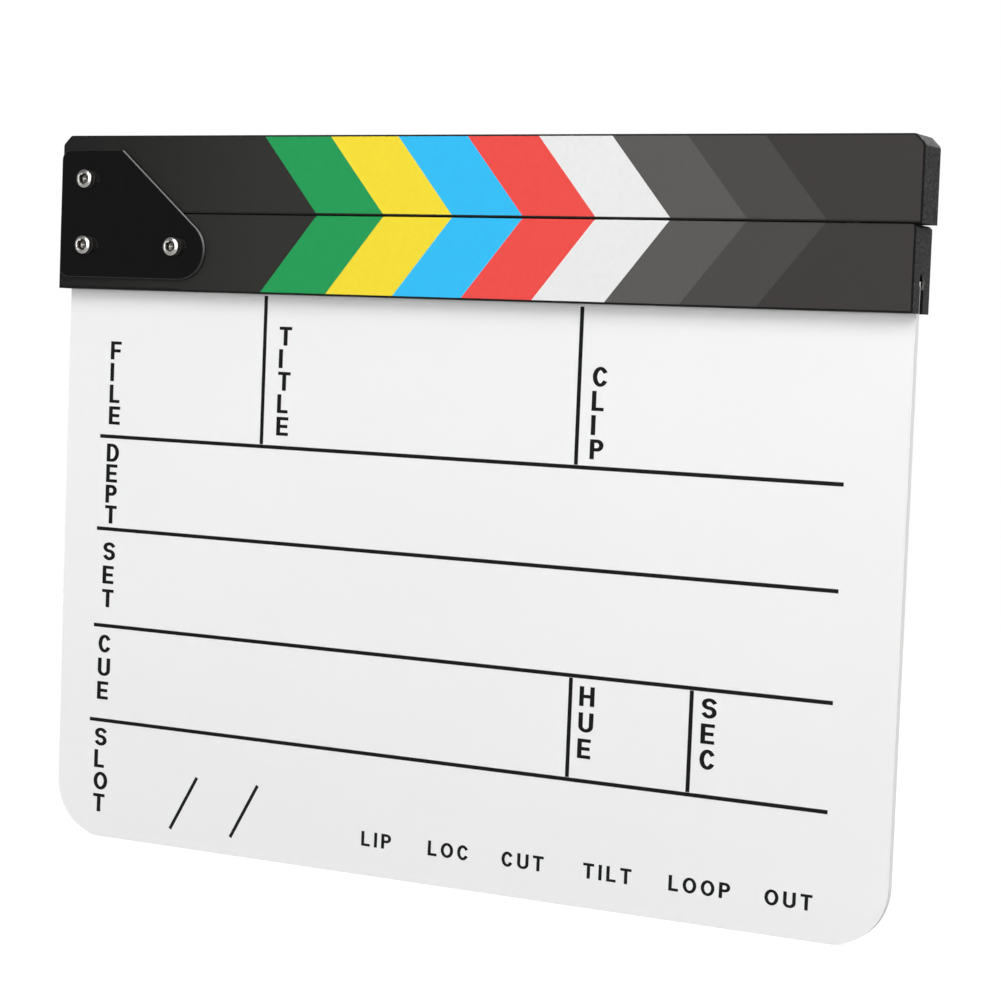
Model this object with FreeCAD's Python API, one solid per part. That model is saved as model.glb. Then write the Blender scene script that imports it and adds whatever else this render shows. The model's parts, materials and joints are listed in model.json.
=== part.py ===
import FreeCAD, Part
import math
import os

# A hand-held film clapperboard: a white writing board held in a grooved lower stick, and an upper
# stick that swings up about a screw carried by two hinge plates. Millimetres. X runs to the right
# along the sticks, Y away from the reader, Z up. The origin is the middle of the board's bottom edge.

Vec = FreeCAD.Vector

# Writing board
board_width = 298.0
board_height = 195.0
board_thickness = 3.0
board_corner_radius = 18.5

# Clap sticks; the upper stick is the swinging arm
stick_height = 25.4
stick_thickness = 15.0
stick_arris_radius = 0.4
stick_corner_bevel = 0.9
stick_corner_ease = 1.0
stick_board_margin = 0.9
seam_gap = 0.3
arm_overhang = 1.5
arm_end_setback = 0.3
arm_corner_bevel = 3.0
arm_corner_ease = 1.6
arm_opening_angle = 80.0

# Groove along the underside of the lower stick, with a round relief at its top
groove_depth = 9.3
groove_clearance = 0.15
groove_relief_radius = 2.4

# Printed films on the flat of the sticks' faces
film_thickness = 0.15
film_setback = 0.2
arm_film_lead = 3.8
film_plate_gap = 0.3
film_running_gap = 0.15

# Hinge plates
plate_thickness = 1.7
plate_end_inset = 1.4
plate_top_inset = 5.1
plate_foot_inset = 3.9
plate_length = 57.4
plate_top_length = 24.3
plate_nose_radius = 9.6
plate_corner_radius = 3.2
plate_edge_bevel = 0.15

# Places of the screws, from the lower stick's hinge end, the arm's top, the lower stick's foot and
# the middle of the plates' nose
pivot_from_end = 12.1
pivot_drop = 14.6
fixing_rise = 14.6
fixing_nose_setback = 1.6

# Socket-head screws
screw_diameter = 4.0
screw_hole_clearance = 0.15
screw_tip = 0.4
head_diameter = 6.0
head_height = 2.6
head_bevel = 0.3
socket_width = 3.0
socket_depth = 1.5

# Washers and locking nuts
washer_diameter = 9.0
washer_thickness = 0.8
nut_width = 7.0
nut_hex_height = 3.4
nut_hex_bevel = 0.4
nut_collar_diameter = 6.6
nut_collar_height = 1.6
insert_diameter = 5.4
thread_clearance = 0.02

# Bearing of the arm on the pivot screw
bush_diameter = 6.0
bush_running_clearance = 0.05
thrust_washer_diameter = 12.0
thrust_washer_thickness = 0.5
thrust_play = 0.05
thrust_recess_clearance = 0.4
seat_clearance = 0.02

# Magnets in the facing edges of the sticks, near the free end
magnet_diameter = 8.0
magnet_thickness = 3.0
magnet_from_end = 20.0

# One overrun for every cut, and the step below which two depths count as one
cut_overrun = 2.0
same_depth = 0.001

# Levels and ends worked out from the sizes above
stick_foot = board_height - groove_depth
stick_top = stick_foot + stick_height
arm_foot = stick_top + seam_gap
arm_top = arm_foot + stick_height
stick_left = -board_width / 2 - stick_board_margin
stick_right = board_width / 2 + stick_board_margin
arm_left = stick_left + arm_end_setback
arm_right = stick_right + arm_overhang
stick_rear = stick_thickness / 2
arm_rear = stick_rear - film_thickness - film_running_gap
plate_outer = stick_rear + plate_thickness
plate_left = stick_left + plate_end_inset
plate_right = plate_left + plate_length
plate_foot = stick_foot + plate_foot_inset
plate_top = arm_top - plate_top_inset
plate_nose = Vec(plate_right - plate_nose_radius, 0, plate_foot + plate_nose_radius)
plate_shoulder = Vec(plate_left + plate_top_length, 0, plate_top)
pivot = Vec(stick_left + pivot_from_end, 0, arm_top - pivot_drop)
first_fixing = Vec(pivot.x, 0, stick_foot + fixing_rise)
second_fixing = Vec(plate_nose.x - fixing_nose_setback, 0, first_fixing.z)
fixings = [first_fixing, second_fixing]
all_screws = [pivot, first_fixing, second_fixing]
screw_radius = screw_diameter / 2
screw_hole_radius = screw_radius + screw_hole_clearance
thread_radius = screw_radius + thread_clearance
thrust_face = stick_rear - thrust_washer_thickness
thrust_floor = thrust_face - thrust_play
nut_seat = plate_outer + washer_thickness
nut_shoulder = nut_seat + nut_hex_height
nut_top = nut_shoulder + nut_collar_height
magnet_x = stick_right - magnet_from_end


def point_at(centre, radius, angle):
    """The point of the face at a radius from a centre and an angle in degrees from +X towards +Z."""
    turn = math.radians(angle)
    return centre + Vec(radius * math.cos(turn), 0, radius * math.sin(turn))


def bend(centre, radius, start, end):
    """Start, middle and end of an arc on the face, between two angles in degrees."""
    return [point_at(centre, radius, angle) for angle in (start, (start + end) / 2, end)]


def closed_face(stops):
    """A face round its stops, each a sharp corner of one point or a bend, joined by straight lines."""
    edges = []
    for stop, following in zip(stops, stops[1:] + stops[:1]):
        if len(stop) > 1:
            edges.append(Part.Arc(*stop).toShape())
        edges.append(Part.makeLine(stop[-1], following[0]))
    return Part.Face(Part.Wire(edges))


def slab(face, front, rear):
    """A face on the XZ plane made solid between two depths."""
    return face.translated(Vec(0, front, 0)).extrude(Vec(0, rear - front, 0))


def rod(place, front, rear, radius):
    """A round bar along Y through a place on the face."""
    return Part.makeCylinder(radius, rear - front, place + Vec(0, front, 0), Vec(0, 1, 0))


def ring(place, front, rear, outer_radius, inner_radius):
    """A washer or sleeve about an axis along Y."""
    bore = rod(place, front - cut_overrun, rear + cut_overrun, inner_radius)
    return rod(place, front, rear, outer_radius).cut(bore)


def hexagon_bar(place, front, rear, width):
    """A hexagonal bar along Y, a corner at its top, given its width across the flats."""
    corner_radius = width / math.sqrt(3)
    corners = [[point_at(place, corner_radius, 30 + side * 60)] for side in range(6)]
    return slab(closed_face(corners), front, rear)


def rim(solid, depth):
    """The edges of a solid that lie wholly at one depth."""
    edges = []
    for edge in solid.Edges:
        box = edge.BoundBox
        if abs(box.YMin - depth) < same_depth and abs(box.YMax - depth) < same_depth:
            edges.append(edge)
    return edges


def bevelled_rod(place, front, rear, radius, bevel, end):
    """A round bar along Y with a bevel round the end that lies at a given depth."""
    bar = rod(place, front, rear, radius)
    return bar.makeChamfer(bevel, rim(bar, end))


def disc_magnet(foot, clearance):
    """The upright disc of a magnet standing on a level, grown by a clearance for its pocket."""
    return Part.makeCylinder(magnet_diameter / 2 + clearance, magnet_thickness, Vec(magnet_x, 0, foot))


def writing_board():
    """Flat sheet with square top corners, hidden in the groove, and large rounded bottom corners."""
    left = -board_width / 2
    right = board_width / 2
    low_left = Vec(left + board_corner_radius, 0, board_corner_radius)
    low_right = Vec(right - board_corner_radius, 0, board_corner_radius)
    face = closed_face([
        bend(low_left, board_corner_radius, 180, 270),
        bend(low_right, board_corner_radius, 270, 360),
        [Vec(right, 0, board_height)],
        [Vec(left, 0, board_height)],
    ])
    return slab(face, -board_thickness / 2, board_thickness / 2)


def stick_face(left, right, foot, top, bevel, ease):
    """Front view of a stick: square at its foot, its top corners bevelled at 45 degrees and eased."""
    inset = bevel + ease * math.tan(math.radians(45 / 2))
    return closed_face([
        [Vec(left, 0, foot)],
        [Vec(right, 0, foot)],
        bend(Vec(right - ease, 0, top - inset), ease, 0, 45),
        bend(Vec(right - inset, 0, top - ease), ease, 45, 90),
        bend(Vec(left + inset, 0, top - ease), ease, 90, 135),
        bend(Vec(left + ease, 0, top - inset), ease, 135, 180),
    ])


def lower_stick_face():
    """Front view of the fixed stick."""
    return stick_face(
        stick_left, stick_right, stick_foot, stick_top, stick_corner_bevel, stick_corner_ease)


def upper_stick_face():
    """Front view of the arm before its heel is shaped."""
    return stick_face(arm_left, arm_right, arm_foot, arm_top, arm_corner_bevel, arm_corner_ease)


def eased_stick(face, rear):
    """A stick of a given front view, centred in depth, with its front and rear arrises eased."""
    stick = slab(face, -rear, rear)
    return stick.makeFillet(stick_arris_radius, rim(stick, -rear) + rim(stick, rear))


def lower_stick():
    """Fixed stick with the board's groove, two screw holes and a magnet pocket in its top."""
    stick = eased_stick(lower_stick_face(), stick_rear)
    length = stick_right - stick_left + cut_overrun * 2
    groove_half = board_thickness / 2 + groove_clearance
    corner = Vec(stick_left - cut_overrun, -groove_half, stick_foot - cut_overrun)
    groove = Part.makeBox(length, groove_half * 2, groove_depth + cut_overrun, corner)
    relief_start = Vec(stick_left - cut_overrun, 0, board_height)
    relief = Part.makeCylinder(groove_relief_radius, length, relief_start, Vec(1, 0, 0))
    stick = stick.cut(groove.fuse(relief))
    through = stick_rear + cut_overrun
    for place in fixings:
        stick = stick.cut(rod(place, -through, through, screw_hole_radius))
    return stick.cut(disc_magnet(stick_top - magnet_thickness, seat_clearance))


def heel_waste():
    """What is cut from the arm's lower corner at the hinge, so that it can swing up to its stop.

    The heel is an arc about the pivot that touches the arm's foot. It ends in a straight flank that
    touches the same arc, turned by the opening angle, so that the flank lies along the lower stick's
    top when the arm is fully open.
    """
    radius = pivot.z - arm_foot
    reach = pivot.x - arm_left + stick_height
    flank_angle = 270 - arm_opening_angle
    corner = [pivot, Vec(pivot.x, 0, pivot.z - reach)]
    corner.append(Vec(pivot.x - reach, 0, pivot.z - reach))
    corner.append(point_at(pivot, reach, flank_angle))
    wedge = slab(closed_face([[point] for point in corner]), -stick_rear, stick_rear)
    wedge = wedge.cut(rod(pivot, -stick_rear - cut_overrun, stick_rear + cut_overrun, radius))
    beyond = Part.makeBox(reach, stick_thickness, reach * 2, Vec(radius, -stick_rear, -reach))
    beyond.rotate(Vec(0, 0, 0), Vec(0, -1, 0), flank_angle)
    beyond.translate(pivot)
    return wedge.fuse(beyond)


def upper_stick():
    """Swinging stick with a rounded heel, a bush hole between two washer recesses and a magnet pocket."""
    arm = eased_stick(upper_stick_face(), arm_rear)
    arm = arm.cut(heel_waste())
    through = arm_rear + cut_overrun
    arm = arm.cut(rod(pivot, -through, through, bush_diameter / 2 + seat_clearance))
    recess_radius = thrust_washer_diameter / 2 + thrust_recess_clearance
    arm = arm.cut(rod(pivot, -through, -thrust_floor, recess_radius))
    arm = arm.cut(rod(pivot, thrust_floor, through, recess_radius))
    return arm.cut(disc_magnet(arm_foot, seat_clearance))


def plate_face():
    """Outline of a hinge plate: straight top, foot and end, a sloping edge and a round nose."""
    toward = plate_shoulder - plate_nose
    bearing = math.degrees(math.atan2(toward.z, toward.x))
    slope_angle = bearing - math.degrees(math.acos(plate_nose_radius / toward.Length))
    inset = plate_left + plate_corner_radius
    return closed_face([
        [plate_shoulder],
        bend(plate_nose, plate_nose_radius, slope_angle, -90),
        bend(Vec(inset, 0, plate_foot + plate_corner_radius), plate_corner_radius, 270, 180),
        bend(Vec(inset, 0, plate_top - plate_corner_radius), plate_corner_radius, 180, 90),
    ])


def hinge_plate(inner, outer):
    """A hinge plate between its two faces, drilled for the screws and bevelled round its outer face."""
    plate = slab(plate_face(), min(inner, outer), max(inner, outer))
    plate = plate.makeChamfer(plate_edge_bevel, rim(plate, outer))
    through = plate_outer + cut_overrun
    for place in all_screws:
        plate = plate.cut(rod(place, -through, through, screw_hole_radius))
    return plate


def stick_film(face, left, seat):
    """A printed film on a stick's face, within its eased arrises and cut round the hinge plate."""
    film = slab(face.makeOffset2D(-stick_arris_radius - film_setback), seat - film_thickness, seat)
    box = film.BoundBox
    front = box.YMin - cut_overrun
    depth = box.YLength + cut_overrun * 2
    hinge_side = Part.makeBox(left - box.XMin, depth, box.ZLength, Vec(box.XMin, front, box.ZMin))
    grown_plate = slab(plate_face().makeOffset2D(film_plate_gap), front, front + depth)
    return film.cut([hinge_side, grown_plate])


def socket_screw(place):
    """A screw with a bevelled round head, a hexagon socket and a plain shank through to past its nut."""
    head_top = -plate_outer - head_height
    screw_end = nut_top + screw_tip
    head = bevelled_rod(place, head_top, -plate_outer, head_diameter / 2, head_bevel, head_top)
    head = head.cut(hexagon_bar(place, head_top - cut_overrun, head_top + socket_depth, socket_width))
    shank = rod(place, -plate_outer, screw_end, screw_radius)
    return head.fuse(shank).removeSplitter()


def lock_nut(place):
    """A hexagon nut with bevelled corners and a round collar that is hollowed for its insert."""
    hexagon = hexagon_bar(place, nut_seat, nut_shoulder, nut_width)
    barrel_radius = nut_width / math.sqrt(3)
    barrel = bevelled_rod(place, nut_seat, nut_shoulder, barrel_radius, nut_hex_bevel, nut_shoulder)
    collar = rod(place, nut_shoulder, nut_top, nut_collar_diameter / 2)
    nut = hexagon.common(barrel).fuse(collar)
    nut = nut.cut(rod(place, nut_seat - cut_overrun, nut_top + cut_overrun, thread_radius))
    return nut.cut(rod(place, nut_shoulder, nut_top + cut_overrun, insert_diameter / 2))


def nut_insert(place):
    """The nylon ring held in a locking nut's collar."""
    return ring(place, nut_shoulder, nut_top, insert_diameter / 2 - seat_clearance, thread_radius)


def nut_washer(place):
    """A flat washer between the rear plate and a nut."""
    return ring(place, plate_outer, nut_seat, washer_diameter / 2, screw_hole_radius)


def pivot_bush():
    """The sleeve in the arm that turns on the pivot screw."""
    bore_radius = screw_radius + bush_running_clearance
    return ring(pivot, -thrust_floor, thrust_floor, bush_diameter / 2, bore_radius)


def thrust_washer(front, rear):
    """A thin washer that keeps the arm off a hinge plate."""
    return ring(pivot, front, rear, thrust_washer_diameter / 2, screw_hole_radius)


def group(make, places):
    """Separate copies of a fastener, one at each place."""
    return Part.makeCompound([make(place) for place in places])


nodes = {
    "writing_board": writing_board(),
    "lower_stick": lower_stick(),
    "upper_stick": upper_stick(),
    "lower_stick_film": stick_film(lower_stick_face(), plate_nose.x, -stick_rear),
    "upper_stick_film": stick_film(upper_stick_face(), plate_shoulder.x - arm_film_lead, -arm_rear),
    "front_hinge_plate": hinge_plate(-stick_rear, -plate_outer),
    "rear_hinge_plate": hinge_plate(stick_rear, plate_outer),
    "pivot_screw": socket_screw(pivot),
    "fixing_screws": group(socket_screw, fixings),
    "pivot_lock_nut": lock_nut(pivot),
    "fixing_lock_nuts": group(lock_nut, fixings),
    "lock_nut_inserts": group(nut_insert, all_screws),
    "nut_washers": group(nut_washer, all_screws),
    "pivot_bush": pivot_bush(),
    "front_thrust_washer": thrust_washer(-stick_rear, -thrust_face),
    "rear_thrust_washer": thrust_washer(thrust_face, stick_rear),
    "upper_magnet": disc_magnet(arm_foot, 0),
    "lower_magnet": disc_magnet(stick_top - magnet_thickness, 0),
}

os.makedirs("parts", exist_ok=True)
for name, shape in nodes.items():
    shape.exportStep("parts/" + name + ".step")
    print(name, "solids", len(shape.Solids), "valid", shape.isValid(), "volume", round(shape.Volume, 2))
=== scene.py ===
import json
import math

import bpy
import numpy as np
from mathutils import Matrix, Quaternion, Vector


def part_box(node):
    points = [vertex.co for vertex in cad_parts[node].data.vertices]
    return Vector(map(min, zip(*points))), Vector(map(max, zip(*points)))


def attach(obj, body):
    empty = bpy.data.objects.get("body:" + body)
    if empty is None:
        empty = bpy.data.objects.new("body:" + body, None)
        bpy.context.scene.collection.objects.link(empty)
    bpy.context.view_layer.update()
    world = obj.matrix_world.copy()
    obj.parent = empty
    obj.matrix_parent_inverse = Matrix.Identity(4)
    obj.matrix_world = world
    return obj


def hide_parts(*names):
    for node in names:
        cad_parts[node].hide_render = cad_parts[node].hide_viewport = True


# The looks of a film clapperboard: painted sticks with barred films, a white board with inked rules and
# field names, gloss hinge plates and knurled screws. Metres and degrees, in the part's own frame: X runs
# to the right along the sticks, Y away from the reader, Z up from the middle of the board's foot.
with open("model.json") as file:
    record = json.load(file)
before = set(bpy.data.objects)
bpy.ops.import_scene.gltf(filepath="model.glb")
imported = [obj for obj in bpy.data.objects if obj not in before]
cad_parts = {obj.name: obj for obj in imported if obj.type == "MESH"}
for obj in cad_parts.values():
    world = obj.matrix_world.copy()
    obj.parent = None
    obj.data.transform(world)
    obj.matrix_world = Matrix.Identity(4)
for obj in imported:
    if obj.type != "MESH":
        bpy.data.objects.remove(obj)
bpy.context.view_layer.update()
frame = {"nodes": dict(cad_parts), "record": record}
nodes = frame["nodes"]
mm = 0.001

# Places taken from the frame
board_low, board_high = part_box("writing_board")
stick_low, stick_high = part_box("lower_stick")
arm_low, arm_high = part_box("upper_stick")
plate_low, plate_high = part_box("front_hinge_plate")
rear_plate_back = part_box("rear_hinge_plate")[1].y
screw_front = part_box("pivot_screw")[0].y
board_front = board_low.y
board_middle = (board_low.z + board_high.z) / 2
seam_height = (stick_high.z + arm_low.z) / 2

# Camera, at the reader's right and a little above the board's middle, its lens and sensor in millimetres
camera_place = Vector((380.95, -710.93, 173.43)) * mm
camera_aim = Vector((16.79, 0.0, 123.78)) * mm
camera_roll = 2.175
camera_lens = 92.2
camera_sensor = 36.0
camera_nearest = 10 * mm

# Bars printed on the films. A bar's edge leans along the stick by the slant times its distance from the
# seam, so it slopes the other way on each stick. The lower film is printed a little narrower than the
# upper one. The black before the bars carries painted shade: it is painted darkest at the hinge end and
# pales to its own black by the film's end X, while the bare wood pales only its share of the way, by the
# wood's end X.
bars_at_seam = -48.95 * mm
upper_bar_width = 24.62 * mm
lower_bar_width = 24.53 * mm
bar_slant = 0.82
bar_colours = ("209C55", "F7DF35", "31BFF7", "F04D47", "EBEBEB", "595755", "474544", "393634")
black_shaded = "141414"
black_unshaded = "2D2D2A"
shade_darkest_x = -150 * mm
wood_shade_end_x = -110 * mm
film_shade_end_x = -70 * mm
wood_unshaded_share = 0.5

# Print on the board: the thickness of its ink and its turn about the board's middle
ink_thickness = 0.03 * mm
print_turn = 0.176

# Strokes of the print, in millimetres: X from the board's middle, heights above its foot. A pen is a
# width and a height, a row its height and two ends, a stack its letters, left side, top and foot, and
# a word its letters and middle. A letter's width is a share of its height.
rule_pen = (1.32, 1.24)
date_pen = (1.15, 1.15)
stack_pen = (1.5, 1.05)
word_pen = (1.1, 0.85)
row_rules = (
    (135.9, -134.9, 128.85),
    (104.6, -135.1, 128.85),
    (71.7, -135.1, 128.85),
    (39.4, -135.6, 128.85),
)
upper_columns = (-71.15, 42.9)
lower_columns = (44.37, 84.76)
date_strokes = (((-101.8, 6.2), (-92.2, 23.6)), ((-77.8, 6.3), (-68.3, 23.7)))
stack_height = 6.1
stacks = (
    ("FILE", -132.2, 168.0, 140.0),
    ("TITLE", -65.6, 175.2, 139.8),
    ("CLIP", 47.4, 166.9, 138.6),
    ("DEPT", -132.6, 133.5, 106.5),
    ("SET", -132.8, 100.1, 78.0),
    ("CUE", -133.6, 68.6, 46.5),
    ("SLOT", -133.9, 36.7, 8.0),
    ("HUE", 47.5, 68.7, 46.4),
    ("SEC", 88.2, 69.2, 47.6),
)
word_height = 4.8
word_foot = 9.45
word_gap = 1.45
words = (("LIP", -22.4), ("LOC", 3.9), ("CUT", 30.3), ("TILT", 59.4), ("LOOP", 90.0), ("OUT", 118.6))
letter_widths = {
    "C": 0.84, "D": 0.82, "E": 0.74, "F": 0.71, "H": 0.84, "I": 0.27,
    "L": 0.67, "O": 0.93, "P": 0.75, "S": 0.8, "T": 0.78, "U": 0.83,
}
arc_points = 24

# Corners, arrises and edges of the pieces that the finishes tell apart
skin = 0.05 * mm
sheet_skin = 0.01 * mm
arm_corner_bevel = 3.0 * mm
stick_arris = 0.4 * mm
foot_shade = 0.9 * mm
seam_print = 1.0 * mm
groove_relief = 2.4 * mm
relief_rim = 0.7 * mm
plate_bevel = 0.15 * mm
plate_skin = 0.015 * mm
# Painted shade on the plates' sawn edge: the rear part left black, and the heights below which the pale
# edge is painted darker and above which it is fully pale
plate_edge_shade = 0.45 * mm
plate_edge_shaded_below = 197.0 * mm
plate_edge_unshaded_above = 203.5 * mm

# Grains of the finishes: their size, their stretch along X, Y and Z, and their detail
even = (1, 1, 1)
sheet_haze = (70 * mm, (1.6, 1, 1), 3.0)
sheet_wiping = (6 * mm, (9, 1, 1), 4.0)
sheet_sawing = (0.25 * mm, (1, 12, 1), 3.0)
wood_grain = (0.5 * mm, (40, 1, 1), 4.0)
wood_tooth = (0.12 * mm, even, 3.0)
wood_speckle = (0.6 * mm, (1, 0.7, 1.5), 6.0)
film_mottle = (1.6 * mm, even, 5.0)
film_tooth = (0.3 * mm, even, 3.0)
plate_sawing = (0.2 * mm, (1, 14, 1), 3.0)
plate_wiping = (3 * mm, (1, 1, 4), 4.0)
turning_marks = (0.12 * mm, even, 5.0)
turning_bloom = (1.68 * mm, even, 3.0)
plating_marks = (0.2 * mm, even, 5.0)
plating_bloom = (2.8 * mm, even, 3.0)
screw_marks = (0.1 * mm, even, 5.0)
screw_bloom = (1.5 * mm, even, 3.0)
nylon_cloud = (1.2 * mm, even, 3.0)
nylon_grain = (0.15 * mm, even, 3.0)
ink_body = (0.8 * mm, even, 4.0)

# The wood's speckle is its noise less a floor, times a gain, so that dark and pale part clearly
speckle_floor = 0.38
speckle_gain = 4.2

# Heights of the finishes' relief, and how deep light goes into nylon
sheet_relief = 0.04 * mm
wood_relief = 0.06 * mm
film_relief = 0.01 * mm
plate_relief = 0.03 * mm
metal_relief = 0.006 * mm
screw_relief = 0.004 * mm
nylon_relief = 0.01 * mm
ink_relief = 0.008 * mm
nylon_depth = 0.5 * mm

# Turned screws. The socket's flat is its distance from the middle. Within the socket the steel is
# painted darker as shade, within the reach and below the shade's depth, and darkest outside the floor's
# radius, on its sides.
points_around = 240
knurl_teeth = 40
knurl_depth = 0.14 * mm
knurl_rear_gap = 0.32 * mm
head_crown = 0.18 * mm
head_round = 0.35 * mm
head_foot_bevel = 0.2 * mm
round_angles = (22.5, 45.0, 67.5, 90.0)
crown_rings = 8
socket_flat = 1.5 * mm
socket_depth = 1.5 * mm
socket_lead = 0.33 * mm
socket_margin = 0.1 * mm
socket_reach = 1.8 * mm
socket_floor_radius = 1.425 * mm
socket_shade_depth = 0.297 * mm
cone_radius = 1.2 * mm
cone_depth = 0.55 * mm
cone_shares = (0.12, 0.5, 0.94)
shank_radius = 2.0 * mm
thread_pitch = 0.7 * mm
thread_depth = 0.32 * mm
tip_bevel = 0.3 * mm
rows_per_pitch = 8
sharp_angle = 28.0

# Floor: half its width, its grey in the light that it gives back and as the camera sees it, the glow
# that the camera sees on it, the distances from the part's middle between which its shade fades into
# the white background, and the depth in front of which shiny pieces don't see it white
floor_half = 4.0
floor_level = 0.34
floor_seen_level = 0.4
floor_glow = 0.75
floor_near = 0.35
floor_far = 0.9
floor_front = -0.1

# Room: its level on the reader's side, and how far back a direction points where it starts to whiten
# and where it is white
room_dim_level = 0.14
room_dim_until = -0.15
room_white_from = 0.35

# Lamps: place, width, height and watts, all turned to one aim
lamp_aim = Vector((0.0, 0.0, 0.13))
lamps = {
    "key": ((0.8, -1.62, 1.42), 1.2, 1.2, 22.5),
    "low_fill": ((0.1, -1.5, 0.22), 0.9, 0.36, 5.5),
    "right_fill": ((1.25, -0.05, 1.05), 0.5, 0.5, 4.0),
    "rear_fill": ((-0.7, 1.5, 1.0), 1.0, 1.0, 9.0),
    "left_strip": ((-1.16, -0.8, 0.25), 0.14, 0.46, 1.2),
    "front_strip": ((-0.42, -1.36, 0.6), 0.25, 0.8, 3.5),
}


def tone(code):
    """Linear colour of a six-figure sRGB code."""
    parts = np.array([int(code[start:start + 2], 16) for start in (0, 2, 4)]) / 255
    linear = np.where(parts <= 0.04045, parts / 12.92, ((parts + 0.055) / 1.055) ** 2.4)
    return (*linear.tolist(), 1.0)


def grey(level):
    """Linear grey of a level."""
    return (level, level, level, 1.0)


class Wire:
    """A node's output. Arithmetic and comparisons on wires and numbers add Math nodes."""

    def __init__(self, finish, socket):
        self.finish = finish
        self.socket = socket

    def __add__(self, other):
        return self.finish.math("ADD", self, other)

    def __sub__(self, other):
        return self.finish.math("SUBTRACT", self, other)

    def __rsub__(self, other):
        return self.finish.math("SUBTRACT", other, self)

    def __mul__(self, other):
        return self.finish.math("MULTIPLY", self, other)

    def __truediv__(self, other):
        return self.finish.math("DIVIDE", self, other)

    def __rtruediv__(self, other):
        return self.finish.math("DIVIDE", other, self)

    def __lt__(self, other):
        return self.finish.math("LESS_THAN", self, other)

    def __gt__(self, other):
        return self.finish.math("GREATER_THAN", self, other)

    def __abs__(self):
        return self.finish.math("ABSOLUTE", self)

    __radd__ = __add__
    __rmul__ = __mul__


class Finish:
    """A node tree being written, for a surface or for the room."""

    # Numbers of a Mix node's sockets for colours, which share their names with those for numbers
    share_in, first_in, second_in, mixed_out = 0, 6, 7, 2

    def __init__(self, tree):
        self.tree = tree

    def feed(self, node, sockets):
        """Sets a node's sockets, by name or number, to values or to wires."""
        for key, value in sockets.items():
            if isinstance(value, Wire):
                self.tree.links.new(value.socket, node.inputs[key])
            else:
                node.inputs[key].default_value = value

    def node(self, kind, settings=None, sockets=None, output=0):
        """Adds a node, with its settings first and then its sockets, and gives one of its outputs."""
        node = self.tree.nodes.new(kind)
        for key, value in (settings or {}).items():
            setattr(node, key, value)
        self.feed(node, sockets or {})
        return Wire(self, node.outputs[output])

    def math(self, operation, *terms):
        """A Math node on wires and numbers."""
        return self.node("ShaderNodeMath", {"operation": operation}, dict(enumerate(terms)))

    def either(self, first, second):
        """The larger of two masks."""
        return self.math("MAXIMUM", first, second)

    def mix(self, share, first, second, blend="MIX"):
        """Goes from the first colour to the second, or to their blend, as the share goes from 0 to 1."""
        settings = {"data_type": "RGBA", "blend_type": blend}
        sockets = {self.share_in: share, self.first_in: first, self.second_in: second}
        return self.node("ShaderNodeMix", settings, sockets, self.mixed_out)

    def vary(self, colour, noise, spread):
        """A colour made darker and lighter by up to a share of itself, as a noise goes from 0 to 1."""
        return self.mix(1.0, colour, self.mix(noise, grey(1 - spread), grey(1 + spread)), "MULTIPLY")

    def rise(self, value, low, high, bottom=0.0, top=1.0, pace="LINEAR"):
        """Goes from a bottom to a top as a value goes from low to high."""
        return self.node("ShaderNodeMapRange", {"interpolation_type": pace}, {
            "Value": value, "From Min": low, "From Max": high, "To Min": bottom, "To Max": top})

    def point(self):
        """A point on the piece."""
        return self.node("ShaderNodeTexCoord", output="Object")

    def axis(self, vector, letter):
        """One of the X, Y and Z of a vector."""
        return self.node("ShaderNodeSeparateXYZ", sockets={"Vector": vector}, output=letter)

    def place(self):
        """The X, Y and Z of a point on the piece."""
        point = self.point()
        return [self.axis(point, letter) for letter in "XYZ"]

    def noise(self, size, stretch, detail):
        """Noise from 0 to 1 with grains about one size across, longer where the stretch is larger."""
        scale = [1 / (size * along) for along in stretch]
        grid = self.node("ShaderNodeMapping", sockets={"Vector": self.point(), "Scale": scale})
        return self.node("ShaderNodeTexNoise", sockets={"Vector": grid, "Scale": 1.0, "Detail": detail})

    def bump(self, height, distance):
        """A normal tilted by a height map whose full height is a distance."""
        sockets = {"Strength": 1.0, "Distance": distance, "Height": height}
        return self.node("ShaderNodeBump", sockets=sockets)


def surface(name, sockets):
    """A new surface finish with a shader whose fixed sockets are set."""
    material = bpy.data.materials.new(name)
    material.use_nodes = True
    finish = Finish(material.node_tree)
    finish.material = material
    finish.shader = material.node_tree.nodes["Principled BSDF"]
    finish.feed(finish.shader, sockets)
    return finish


def white_acrylic():
    """Satin white sheet with faint wiping haze, and a matt sawn rim."""
    sheet = surface("white_acrylic", {"IOR": 1.49, "Specular IOR Level": 0.3})
    _, across, _ = sheet.place()
    rim = abs(across) < board_high.y - sheet_skin
    haze = sheet.noise(*sheet_haze)
    wiping = sheet.noise(*sheet_wiping)
    sawing = sheet.noise(*sheet_sawing)
    face = sheet.mix(haze, tone("F3F3F3"), tone("F8F8F8"))
    edge = sheet.mix(sawing, tone("F4F4F3"), tone("FCFCFB"))
    sheet.feed(sheet.shader, {
        "Base Color": sheet.mix(rim, face, edge),
        "Roughness": 0.34 + wiping * 0.1 + rim * 0.2,
        "Normal": sheet.bump(sawing * rim, sheet_relief),
    })
    return sheet.material


def film_print(finish, along, up):
    """The print's colour at a place on the sticks: black, painted darker towards the hinge end as shade,
    then each bar from its own slanted edge on.
    """
    width = lower_bar_width + (up > seam_height) * (upper_bar_width - lower_bar_width)
    bars_passed = (along - bars_at_seam + abs(up - seam_height) * bar_slant) / width
    hinge_shade = finish.rise(along, shade_darkest_x, film_shade_end_x)
    colour = finish.mix(hinge_shade, tone(black_shaded), tone(black_unshaded))
    for count, code in enumerate(bar_colours):
        colour = finish.mix(bars_passed > count, colour, tone(code))
    return colour


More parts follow.
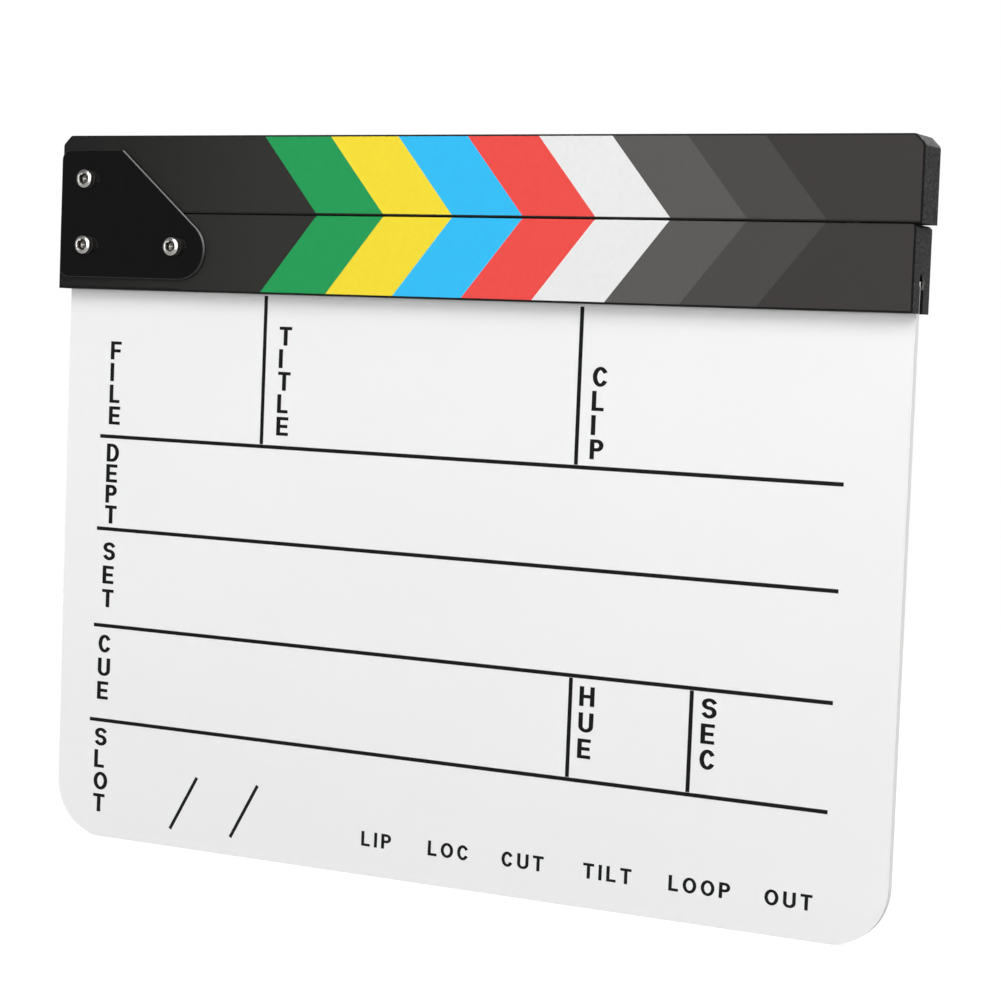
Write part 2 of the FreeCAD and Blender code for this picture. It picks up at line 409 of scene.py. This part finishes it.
def black_wood(name, low, high, corner_bevel):
    """Matt black paint on a stick: long grain and speckled sawn ends, with painted shade and a painted
    highlight. The black is painted darker towards the hinge end, the front arrises and the groove are
    painted near black as shade, the corner's chamfer is painted pale as a highlight, and the groove's
    mouth has a paler rim.

    Under the seam the film's print is carried on over the lower stick's front arris.
    """
    wood = surface(name, {"IOR": 1.45, "Specular IOR Level": 0.2})
    along, across, up = wood.place()
    half_length = (high.x - low.x) / 2
    shaded_from = half_length - stick_arris * 2
    reach = abs(along - (high.x + low.x) / 2)
    sawn = reach > half_length - skin
    corner = reach + up > half_length + high.z - corner_bevel
    front = across < low.y + stick_arris
    lit_facet = corner * (1 - front)
    outline = wood.either(reach > shaded_from, up < stick_low.z + foot_shade)
    # The front arrises along the end, along the foot and at the corner are painted near black, as
    # painted shade
    arris = front * wood.either(outline, corner)
    under_seam = (up > seam_height - seam_print) * (up < seam_height)
    printed = front * under_seam * (reach < shaded_from)
    # Within the groove the wood is painted near black, as painted shade; at the mouth the relief's rim
    # is painted a paler grey
    slot = (abs(across) < groove_relief + skin) * (up > low.z + skin) * (1 - sawn)
    groove = slot * (up < board_high.z + groove_relief + skin)
    relief = groove * (up > board_high.z - groove_relief) * (reach > half_length - relief_rim)
    grain = wood.noise(*wood_grain)
    tooth = wood.noise(*wood_tooth)
    speckle = (wood.noise(*wood_speckle) - speckle_floor) * speckle_gain
    # The black is painted darker towards the hinge end, as painted shade
    hinge_shade = wood.rise(along, shade_darkest_x, wood_shade_end_x, top=wood_unshaded_share)
    paint = wood.vary(wood.mix(hinge_shade, tone(black_shaded), tone(black_unshaded)), grain, spread=0.2)
    paint = wood.mix(printed, paint, film_print(wood, along, up))
    paint = wood.mix(wood.either(arris, groove), paint, tone("060606"))
    paint = wood.mix(relief, paint, tone("6C6B69"))
    paint = wood.mix(sawn, paint, wood.mix(speckle, tone("0C0C0C"), tone("454545")))
    # The corner's chamfer is painted pale, as a painted highlight
    paint = wood.mix(lit_facet, paint, wood.mix(speckle, tone("4E4E4E"), tone("848484")))
    rough = wood.either(sawn, lit_facet)
    wood.feed(wood.shader, {
        "Base Color": paint,
        "Roughness": 0.5 + grain * 0.12 + rough * 0.25,
        "Normal": wood.bump(grain * 0.35 + tooth * 0.25 + rough * speckle, wood_relief),
    })
    return wood.material


def printed_film():
    """Satin film with a faintly mottled print."""
    film = surface("printed_film", {"IOR": 1.48, "Specular IOR Level": 0.15})
    along, _, up = film.place()
    mottle = film.noise(*film_mottle)
    tooth = film.noise(*film_tooth)
    film.feed(film.shader, {
        "Base Color": film.vary(film_print(film, along, up), mottle, spread=0.04),
        "Roughness": 0.42 + mottle * 0.1,
        "Normal": film.bump(tooth, film_relief),
    })
    return film.material


def gloss_black_plate():
    """Mirror-gloss black sheet with a matt bevel and a pale sawn edge, with painted shade: the edge is
    painted darker towards the foot, and its rear part next to the stick keeps the face's black.
    """
    plate = surface("gloss_black_plate", {"IOR": 1.49})
    _, across, up = plate.place()
    depth = abs(across)
    outer = abs(plate_low.y)
    inner = abs(plate_high.y)
    matt = depth < outer - plate_skin
    # The edge's rear part next to the stick keeps the face's black, as painted shade
    edge = (depth < outer - plate_bevel) * (depth > inner + plate_edge_shade)
    sawing = plate.noise(*plate_sawing)
    wiping = plate.noise(*plate_wiping)
    face = plate.mix(wiping, tone("080809"), tone("0D0D0E"))
    shaded_edge = plate.mix(sawing, tone("565656"), tone("6A6A6A"))
    sawn = plate.mix(sawing, tone("A8A8A8"), tone("C4C4C4"))
    # The sawn edge is painted darker towards the foot, as painted shade
    side = plate.mix(plate.rise(up, plate_edge_shaded_below, plate_edge_unshaded_above), shaded_edge, sawn)
    plate.feed(plate.shader, {
        "Base Color": plate.mix(edge, face, side),
        "Roughness": 0.04 + wiping * 0.03 + matt * 0.5,
        "Normal": plate.bump(sawing * edge, plate_relief),
    })
    return plate.material


def metal(name, dark, light, roughness, mark_grain, bloom_grain):
    """Bare metal with fine tool marks in its shine and a cloudy bloom."""
    bare = surface(name, {"Metallic": 1.0})
    marks = bare.noise(*mark_grain)
    bloom = bare.noise(*bloom_grain)
    bare.feed(bare.shader, {
        "Base Color": bare.mix(bloom, tone(dark), tone(light)),
        "Roughness": roughness + marks * 0.14 + bloom * 0.06,
        "Normal": bare.bump(marks, metal_relief),
    })
    return bare.material


def screw_steel(centres):
    """Bright turned screw heads; the rougher knurled side and the socket are painted darker steel as
    shade, darkest on the socket's sides.
    """
    steel = surface("screw_steel", {"Metallic": 1.0})
    along, across, up = steel.place()
    side = (across > screw_front + head_crown + head_round) * (across < plate_low.y)
    spans = []
    for centre in centres:
        aside = along - centre.x
        above = up - centre.z
        spans.append(aside * aside + above * above)
    nearest = spans[0]
    for span in spans[1:]:
        nearest = steel.math("MINIMUM", nearest, span)
    # Within the socket the steel is painted darker, and darkest on its sides, as painted shade
    socket_shaded = (nearest < socket_reach ** 2) * (across > screw_front + socket_shade_depth)
    socket_wall_shaded = socket_shaded * (nearest > socket_floor_radius ** 2)
    marks = steel.noise(*screw_marks)
    bloom = steel.noise(*screw_bloom)
    bright = steel.mix(bloom, tone("D2D0CC"), tone("E6E4E0"))
    # The knurled side is painted darker steel, as painted shade
    shaded_steel = steel.mix(side, bright, tone("74716C"))
    shaded_steel = steel.mix(socket_shaded, shaded_steel, tone("7A7772"))
    steel.feed(steel.shader, {
        "Base Color": steel.mix(socket_wall_shaded, shaded_steel, tone("5E5B55")),
        "Roughness": 0.2 + marks * 0.1 + side * (1 - socket_shaded) * 0.14,
        "Normal": steel.bump(marks, screw_relief),
    })
    return steel.material


def natural_nylon():
    """Milky moulded nylon."""
    nylon = surface("nylon", {"IOR": 1.53, "Subsurface Weight": 0.2, "Subsurface Scale": nylon_depth})
    cloud = nylon.noise(*nylon_cloud)
    grain = nylon.noise(*nylon_grain)
    nylon.feed(nylon.shader, {
        "Base Color": nylon.mix(cloud, tone("DEDDD3"), tone("EEEDE6")),
        "Roughness": 0.4 + cloud * 0.12,
        "Normal": nylon.bump(grain, nylon_relief),
    })
    return nylon.material


def black_ink():
    """Screen-printed black ink, a little uneven in depth."""
    ink = surface("black_ink", {"IOR": 1.5, "Specular IOR Level": 0.08})
    body = ink.noise(*ink_body)
    ink.feed(ink.shader, {
        "Base Color": ink.mix(body, tone("101010"), tone("1A1A1A")),
        "Roughness": 0.38 + body * 0.15,
        "Normal": ink.bump(body, ink_relief),
    })
    return ink.material


def turned(points):
    """Points of the print, now in metres, turned a little clockwise about the board's middle."""
    angle = math.radians(print_turn)
    turn = np.array(((math.cos(angle), -math.sin(angle)), (math.sin(angle), math.cos(angle))))
    middle = np.array((0.0, board_middle))
    return (np.array(points) * mm - middle) @ turn + middle


def new_piece(name, points, faces, material, body, slot):
    """A mesh piece at the origin that rides on a body and takes the given material; its slot is not
    used.
    """
    mesh = bpy.data.meshes.new(name)
    mesh.from_pydata(points.tolist(), [], faces)
    mesh.materials.append(material)
    piece = bpy.data.objects.new(name, mesh)
    bpy.context.scene.collection.objects.link(piece)
    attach(piece, body)
    return piece


def stroke_borders(path, pen, closed):
    """The left and right borders of a pen's stroke along a path, with square ends half a pen beyond it.

    The pen is a width and a height. With X shrunk by the one over the other the pen is as wide as
    it is high, and a border point lies half a pen from its path's point, along the sum of the
    normals of the two runs that meet there over one plus their product, so that corners stay square.
    """
    wide, tall = pen
    shrink = np.array((tall / wide, 1.0))
    line = np.array(path) * shrink
    run = np.roll(line, -1, axis=0) - line
    run /= np.linalg.norm(run, axis=1, keepdims=True)
    if not closed:
        run[-1] = run[-2]
        line[0] -= run[0] * tall / 2
        line[-1] += run[-1] * tall / 2
    side = np.stack((-run[:, 1], run[:, 0]), axis=1)
    before = np.roll(side, 1, axis=0)
    if not closed:
        before[0] = side[0]
    mitre = (before + side) / (1 + (before * side).sum(axis=1, keepdims=True)) * tall / 2
    return (line + mitre) / shrink, (line - mitre) / shrink


def ink_strokes(strokes):
    """Points and faces of strokes of ink: a flat box carried along each one on the board's face.

    The box's corners at a point of the path are the left border and the right one, an ink
    thickness in front of the board, and then the right border and the left one on the board.
    """
    points = []
    faces = []
    count = 0
    for path, pen, closed in strokes:
        left, right = [turned(border) for border in stroke_borders(path, pen, closed)]
        corners = np.empty((len(left), 4, 3))
        corners[:, :, ::2] = np.stack((left, right, right, left), axis=1)
        corners[:, :2, 1] = board_front - ink_thickness
        corners[:, 2:, 1] = board_front
        index = count + np.arange(len(left) * 4).reshape(-1, 4)
        here, ahead = (index, np.roll(index, -1, axis=0)) if closed else (index[:-1], index[1:])
        quads = np.stack((here, np.roll(here, -1, axis=1), np.roll(ahead, -1, axis=1), ahead), axis=-1)
        faces += quads.reshape(-1, 4).tolist()
        if not closed:
            faces += [index[0, ::-1].tolist(), index[-1].tolist()]
        points.append(corners.reshape(-1, 3))
        count += index.size
    return np.concatenate(points), faces


def board_rules():
    """The rows, the columns that stand between them and the two slanting date strokes."""
    gap = rule_pen[0]
    strokes = [(((left, level), (right, level)), rule_pen, False) for level, left, right in row_rules]
    first_row, _, third_row, last_row = [row[0] for row in row_rules]
    columns = [(along, first_row, stick_low.z / mm) for along in upper_columns]
    columns += [(along, last_row, third_row) for along in lower_columns]
    for along, low, high in columns:
        strokes.append((((along, low + gap), (along, high - gap)), rule_pen, False))
    strokes += [(stroke, date_pen, False) for stroke in date_strokes]
    return ink_strokes(strokes)


def arc(middle, radii, start, end):
    """Points along an ellipse between two angles: its middle plus its radii times cosine and sine."""
    turn = np.radians(np.linspace(start, end, arc_points))
    return np.stack((middle[0] + radii[0] * np.cos(turn), middle[1] + radii[1] * np.sin(turn)), axis=1)


def letter_lines(letter, inner, under):
    """The open and the closed lines of a letter in a square of one.

    A bar that butts against a stem starts at the inner share of the width, and a stem that hangs
    from a bar ends at the under share of the height.
    """
    bowl = arc((0.55, 0.74), (0.45, 0.26), 90, -90)
    cup = arc((0.5, 0.3), (0.5, 0.3), 180, 360)
    upper_curl = arc((0.5, 0.76), (0.5, 0.24), 30, 270)
    lower_curl = arc((0.5, 0.26), (0.5, 0.26), 90, -150)
    ring = arc((0.5, 0.5), (0.5, 0.5), 0, 360)
    lines = {
        "C": [arc((0.5, 0.5), (0.5, 0.5), 42, 318)],
        "E": [((1, 1), (0, 1), (0, 0), (1, 0)), ((inner, 0.5), (0.9, 0.5))],
        "F": [((1, 1), (0, 1), (0, 0)), ((inner, 0.48), (0.88, 0.48))],
        "H": [((0, 0), (0, 1)), ((1, 0), (1, 1)), ((inner, 0.5), (1 - inner, 0.5))],
        "I": [((0.5, 0), (0.5, 1))],
        "L": [((0, 1), (0, 0), (1, 0))],
        "P": [((0, 0), (0, 1), *bowl, (inner, 0.48))],
        "S": [(*upper_curl, *lower_curl[1:])],
        "T": [((0, 1), (1, 1)), ((0.5, 0), (0.5, under))],
        "U": [((0, 1), *cup, (1, 1))],
    }
    loops = {
        "D": [((0, 0), (0, 1), *arc((0.4, 0.5), (0.6, 0.5), 90, -90))],
        "O": [ring[:-1]],
    }
    return lines.get(letter, []), loops.get(letter, [])


def letter_strokes(letter, left, foot, height, pen):
    """The strokes of a letter of a given height, with its lower left corner at a left and a foot."""
    wide, tall = pen
    across = letter_widths[letter] * height - wide
    up = height - tall
    lines, loops = letter_lines(letter, wide / across, 1 - tall / up)
    corner = np.array((left + wide / 2, foot + tall / 2))
    size = np.array((across, up))
    strokes = [(corner + np.array(line) * size, pen, False) for line in lines]
    return strokes + [(corner + np.array(loop) * size, pen, True) for loop in loops]


def board_letters():
    """The field names: letters stacked down each field's left side, and words along the foot."""
    strokes = []
    for name, left, top, foot in stacks:
        for level, letter in zip(np.linspace(top - stack_height, foot, len(name)), name):
            strokes += letter_strokes(letter, left, level, stack_height, stack_pen)
    for word, middle in words:
        spread = [letter_widths[letter] * word_height for letter in word]
        left = middle - (sum(spread) + word_gap * (len(word) - 1)) / 2
        for letter, width in zip(word, spread):
            strokes += letter_strokes(letter, left, word_foot, word_height, word_pen)
            left += width + word_gap
    return ink_strokes(strokes)


def screw_rings(head_front, head_seat, tip, head_radius):
    """The angles round a screw, and the depths and radii of its rings from its socket to its tip.

    A ring's radius is a circle's, a hexagon's (the flat's distance over the cosine of the angle
    from the middle of the flat) or a circle's less a knurl that rises and falls as a cosine of the
    angle times the number of teeth. The face falls from the socket to its rim as the square of the
    way across it, and the rim is a quarter round. The thread's radius falls from its crest as the
    distance of depth over pitch less angle over a full turn from the nearest whole number.
    """
    around = np.linspace(0, 2 * np.pi, points_around, endpoint=False)
    circle = np.ones_like(around)
    hexagon = socket_flat / np.cos((around + np.pi / 6) % (np.pi / 3) - np.pi / 6)
    knurl = knurl_depth * (0.5 - 0.5 * np.cos(knurl_teeth * around))
    mouth = socket_flat / math.cos(math.pi / 6) + socket_margin
    socket_floor = head_front + socket_depth
    rim = head_radius - head_round
    shoulder = head_front + head_crown + head_round
    knurl_rear = head_seat - knurl_rear_gap
    rings = []
    for share in cone_shares:
        rings.append((socket_floor + cone_depth * (1 - share), circle * cone_radius * share))
    rings += [
        (socket_floor, circle * cone_radius),
        (socket_floor, hexagon),
        (head_front + socket_lead * 2, hexagon),
        (head_front + socket_lead, hexagon + skin),
    ]
    for share in np.linspace(0, 1, crown_rings):
        rings.append((head_front + head_crown * share ** 2, circle * (mouth + (rim - mouth) * share)))
    for turn in np.radians(round_angles):
        depth = head_front + head_crown + head_round * (1 - math.cos(turn))
        rings.append((depth, circle * (rim + head_round * math.sin(turn))))
    rings += [
        (shoulder + knurl_depth, head_radius - knurl),
        (knurl_rear - knurl_depth, head_radius - knurl),
        (knurl_rear, circle * head_radius),
        (head_seat - head_foot_bevel, circle * head_radius),
        (head_seat, circle * (head_radius - head_foot_bevel)),
        (head_seat, circle * shank_radius),
        (rear_plate_back, circle * shank_radius),
    ]
    thread_end = tip - tip_bevel
    rows = int((thread_end - rear_plate_back) / thread_pitch * rows_per_pitch)
    for depth in np.linspace(rear_plate_back, thread_end, rows + 1)[1:]:
        phase = depth / thread_pitch - around / (2 * np.pi)
        rings.append((depth, shank_radius - thread_depth * 2 * abs(phase - np.round(phase))))
    rings.append((tip, circle * (shank_radius - tip_bevel - thread_depth / 2)))
    return around, rings


def turned_screw(centre, node, start):
    """Points, numbered from a start, and faces of a screw about a line along Y through a centre.

    A point lies its ring's radius from the line, times the cosine of its angle along X and the sine
    along Z. Quads join the rings, and a fan closes each end.
    """
    low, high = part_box(node)
    head_radius = (high.z - low.z) / 2
    around, rings = screw_rings(low.y, plate_low.y, high.y, head_radius)
    depths = np.array([ring[0] for ring in rings])
    radii = np.array([ring[1] for ring in rings])
    points = np.empty((len(rings), points_around, 3))
    points[..., 0] = centre.x + radii * np.cos(around)
    points[..., 1] = depths[:, None]
    points[..., 2] = centre.z + radii * np.sin(around)
    cone_end = (centre.x, low.y + socket_depth + cone_depth, centre.z)
    tip_end = (centre.x, high.y, centre.z)
    index = start + np.arange(points.size // 3).reshape(len(rings), points_around)
    following = np.roll(index, -1, axis=1)
    quads = np.stack((index[:-1], index[1:], following[1:], following[:-1]), axis=-1).reshape(-1, 4)
    cone_index = np.full(points_around, start + index.size)
    near = np.stack((cone_index, index[0], following[0]), axis=-1)
    far = np.stack((index[-1], cone_index + 1, following[-1]), axis=-1)
    all_points = np.concatenate((points.reshape(-1, 3), (cone_end, tip_end)))
    return all_points, [*quads.tolist(), *near.tolist(), *far.tolist()]


def screw_piece(name, centres, node, material):
    """One or more knurled screws in place of a node's plain ones."""
    points = np.empty((0, 3))
    faces = []
    for centre in centres:
        screw_points, screw_faces = turned_screw(centre, node, len(points))
        points = np.concatenate((points, screw_points))
        faces += screw_faces
    piece = new_piece(name, points, faces, material, "slate", "stainless_steel")
    piece.data.shade_smooth()
    piece.data.set_sharp_from_angle(angle=math.radians(sharp_angle))
    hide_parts(node)


def screw_centres(node):
    """The centres of the screws at the two ends of a node's box, or of its one screw."""
    low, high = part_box(node)
    middle = (low + high) / 2
    head_radius = (high.z - low.z) / 2
    spread = high.x - low.x - head_radius * 2
    if spread < head_radius:
        return [middle]
    return [middle - Vector((spread / 2, 0, 0)), middle + Vector((spread / 2, 0, 0))]


def studio_floor():
    """A pale floor that keeps the part's shadow and runs into the white background away from it."""
    mesh = bpy.data.meshes.new("studio_floor")
    corners = [(side_x * floor_half, side_y * floor_half, 0.0)
               for side_x, side_y in ((-1, -1), (1, -1), (1, 1), (-1, 1))]
    mesh.from_pydata(corners, [], [(0, 1, 2, 3)])
    floor = bpy.data.objects.new("studio_floor", mesh)
    bpy.context.scene.collection.objects.link(floor)
    material = bpy.data.materials.new("studio_floor")
    material.use_nodes = True
    paint = Finish(material.node_tree)
    rays = ("Is Camera Ray", "Is Glossy Ray", "Is Transmission Ray")
    camera, glossy, clear = [paint.node("ShaderNodeLightPath", output=ray) for ray in rays]
    _, back, _ = paint.place()
    seen = paint.either(paint.either(camera, clear), glossy * (back > floor_front))
    distance = paint.node("ShaderNodeVectorMath", {"operation": "LENGTH"}, {0: paint.point()}, "Value")
    away = paint.rise(distance, floor_near, floor_far, pace="SMOOTHSTEP")
    plain = paint.node("ShaderNodeBsdfDiffuse", sockets={"Color": grey(floor_level)})
    pale = paint.node("ShaderNodeBsdfDiffuse", sockets={"Color": grey(floor_seen_level)})
    glow = paint.node("ShaderNodeEmission", sockets={"Strength": floor_glow})
    near = paint.node("ShaderNodeAddShader", sockets={0: pale, 1: glow})
    white = paint.node("ShaderNodeEmission", sockets={"Strength": 1.0})
    shown = paint.node("ShaderNodeMixShader", sockets={0: away, 1: near, 2: white})
    coat = paint.node("ShaderNodeMixShader", sockets={0: seen, 1: plain, 2: shown})
    paint.feed(material.node_tree.nodes["Material Output"], {"Surface": coat})
    mesh.materials.append(material)


def studio_room():
    """White behind the part and dimmer on the reader's side; the camera sees white all round."""
    world = bpy.data.worlds.new("studio")
    bpy.context.scene.world = world
    world.use_nodes = True
    room = Finish(world.node_tree)
    heading = room.node("ShaderNodeTexCoord", output="Generated")
    back = room.axis(heading, "Y")
    behind = room.rise(back, room_dim_until, room_white_from, room_dim_level, 1.0, "SMOOTHSTEP")
    seen = room.node("ShaderNodeLightPath", output="Is Camera Ray")
    clear = room.node("ShaderNodeLightPath", output="Is Transmission Ray")
    white = room.either(seen, clear)
    level = behind + white * (1 - behind)
    room.feed(world.node_tree.nodes["Background"], {"Strength": level, "Color": grey(1.0)})


def soft_box(name, place, width, height, power):
    """A rectangular lamp turned to the aim."""
    lamp = bpy.data.lights.new(name, "AREA")
    lamp.shape = "RECTANGLE"
    lamp.size = width
    lamp.size_y = height
    lamp.energy = power
    holder = bpy.data.objects.new(name, lamp)
    holder.location = place
    holder.rotation_mode = "QUATERNION"
    holder.rotation_quaternion = (lamp_aim - Vector(place)).to_track_quat("-Z", "Y")
    holder.visible_camera = False
    bpy.context.scene.collection.objects.link(holder)


def portrait_camera():
    """The camera at the reader's right, rolled a little."""
    lens = bpy.data.cameras.new("portrait")
    lens.lens = camera_lens
    lens.sensor_width = camera_sensor
    lens.clip_start = camera_nearest
    camera = bpy.data.objects.new("portrait", lens)
    camera.location = camera_place
    camera.rotation_mode = "QUATERNION"
    level = (camera_aim - camera_place).to_track_quat("-Z", "Y")
    camera.rotation_quaternion = level @ Quaternion((0.0, 0.0, 1.0), math.radians(camera_roll))
    bpy.context.scene.collection.objects.link(camera)
    bpy.context.scene.camera = camera


# Finishes, by the record's slots; each stick has its own, because their ends differ
finishes = {
    "white_acrylic": white_acrylic(),
    "printed_film": printed_film(),
    "gloss_black_plate": gloss_black_plate(),
    "stainless_steel": metal("stainless_steel", "ABAAA8", "BEBDBB", 0.22, turning_marks, turning_bloom),
    "nylon": natural_nylon(),
    "brass": metal("brass", "B9924B", "CFAB62", 0.24, turning_marks, turning_bloom),
    "plated_magnet": metal("plated_magnet", "A6A4A0", "B8B6B2", 0.26, plating_marks, plating_bloom),
}
stick_finishes = {
    "lower_stick": black_wood("black_wood_lower", stick_low, stick_high, stick_arris),
    "upper_stick": black_wood("black_wood_upper", arm_low, arm_high, arm_corner_bevel + stick_arris),
}
for part in frame["record"]["subparts"]:
    finish = stick_finishes.get(part["node"]) or finishes[part["material_slot"]]
    nodes[part["node"]].data.materials.clear()
    nodes[part["node"]].data.materials.append(finish)

# Pieces that the frame leaves to the looks
ink = black_ink()
new_piece("board_rules", *board_rules(), ink, "slate", "printed_film")
new_piece("field_letters", *board_letters(), ink, "slate", "printed_film")
bright_steel = screw_steel([*screw_centres("pivot_screw"), *screw_centres("fixing_screws")])
screw_piece("knurled_pivot_screw", screw_centres("pivot_screw"), "pivot_screw", bright_steel)
screw_piece("knurled_fixing_screws", screw_centres("fixing_screws"), "fixing_screws", bright_steel)

# Studio
studio_floor()
studio_room()
for lamp_name, lamp in lamps.items():
    soft_box(lamp_name, *lamp)
portrait_camera()
bpy.context.scene.view_settings.view_transform = "Standard"
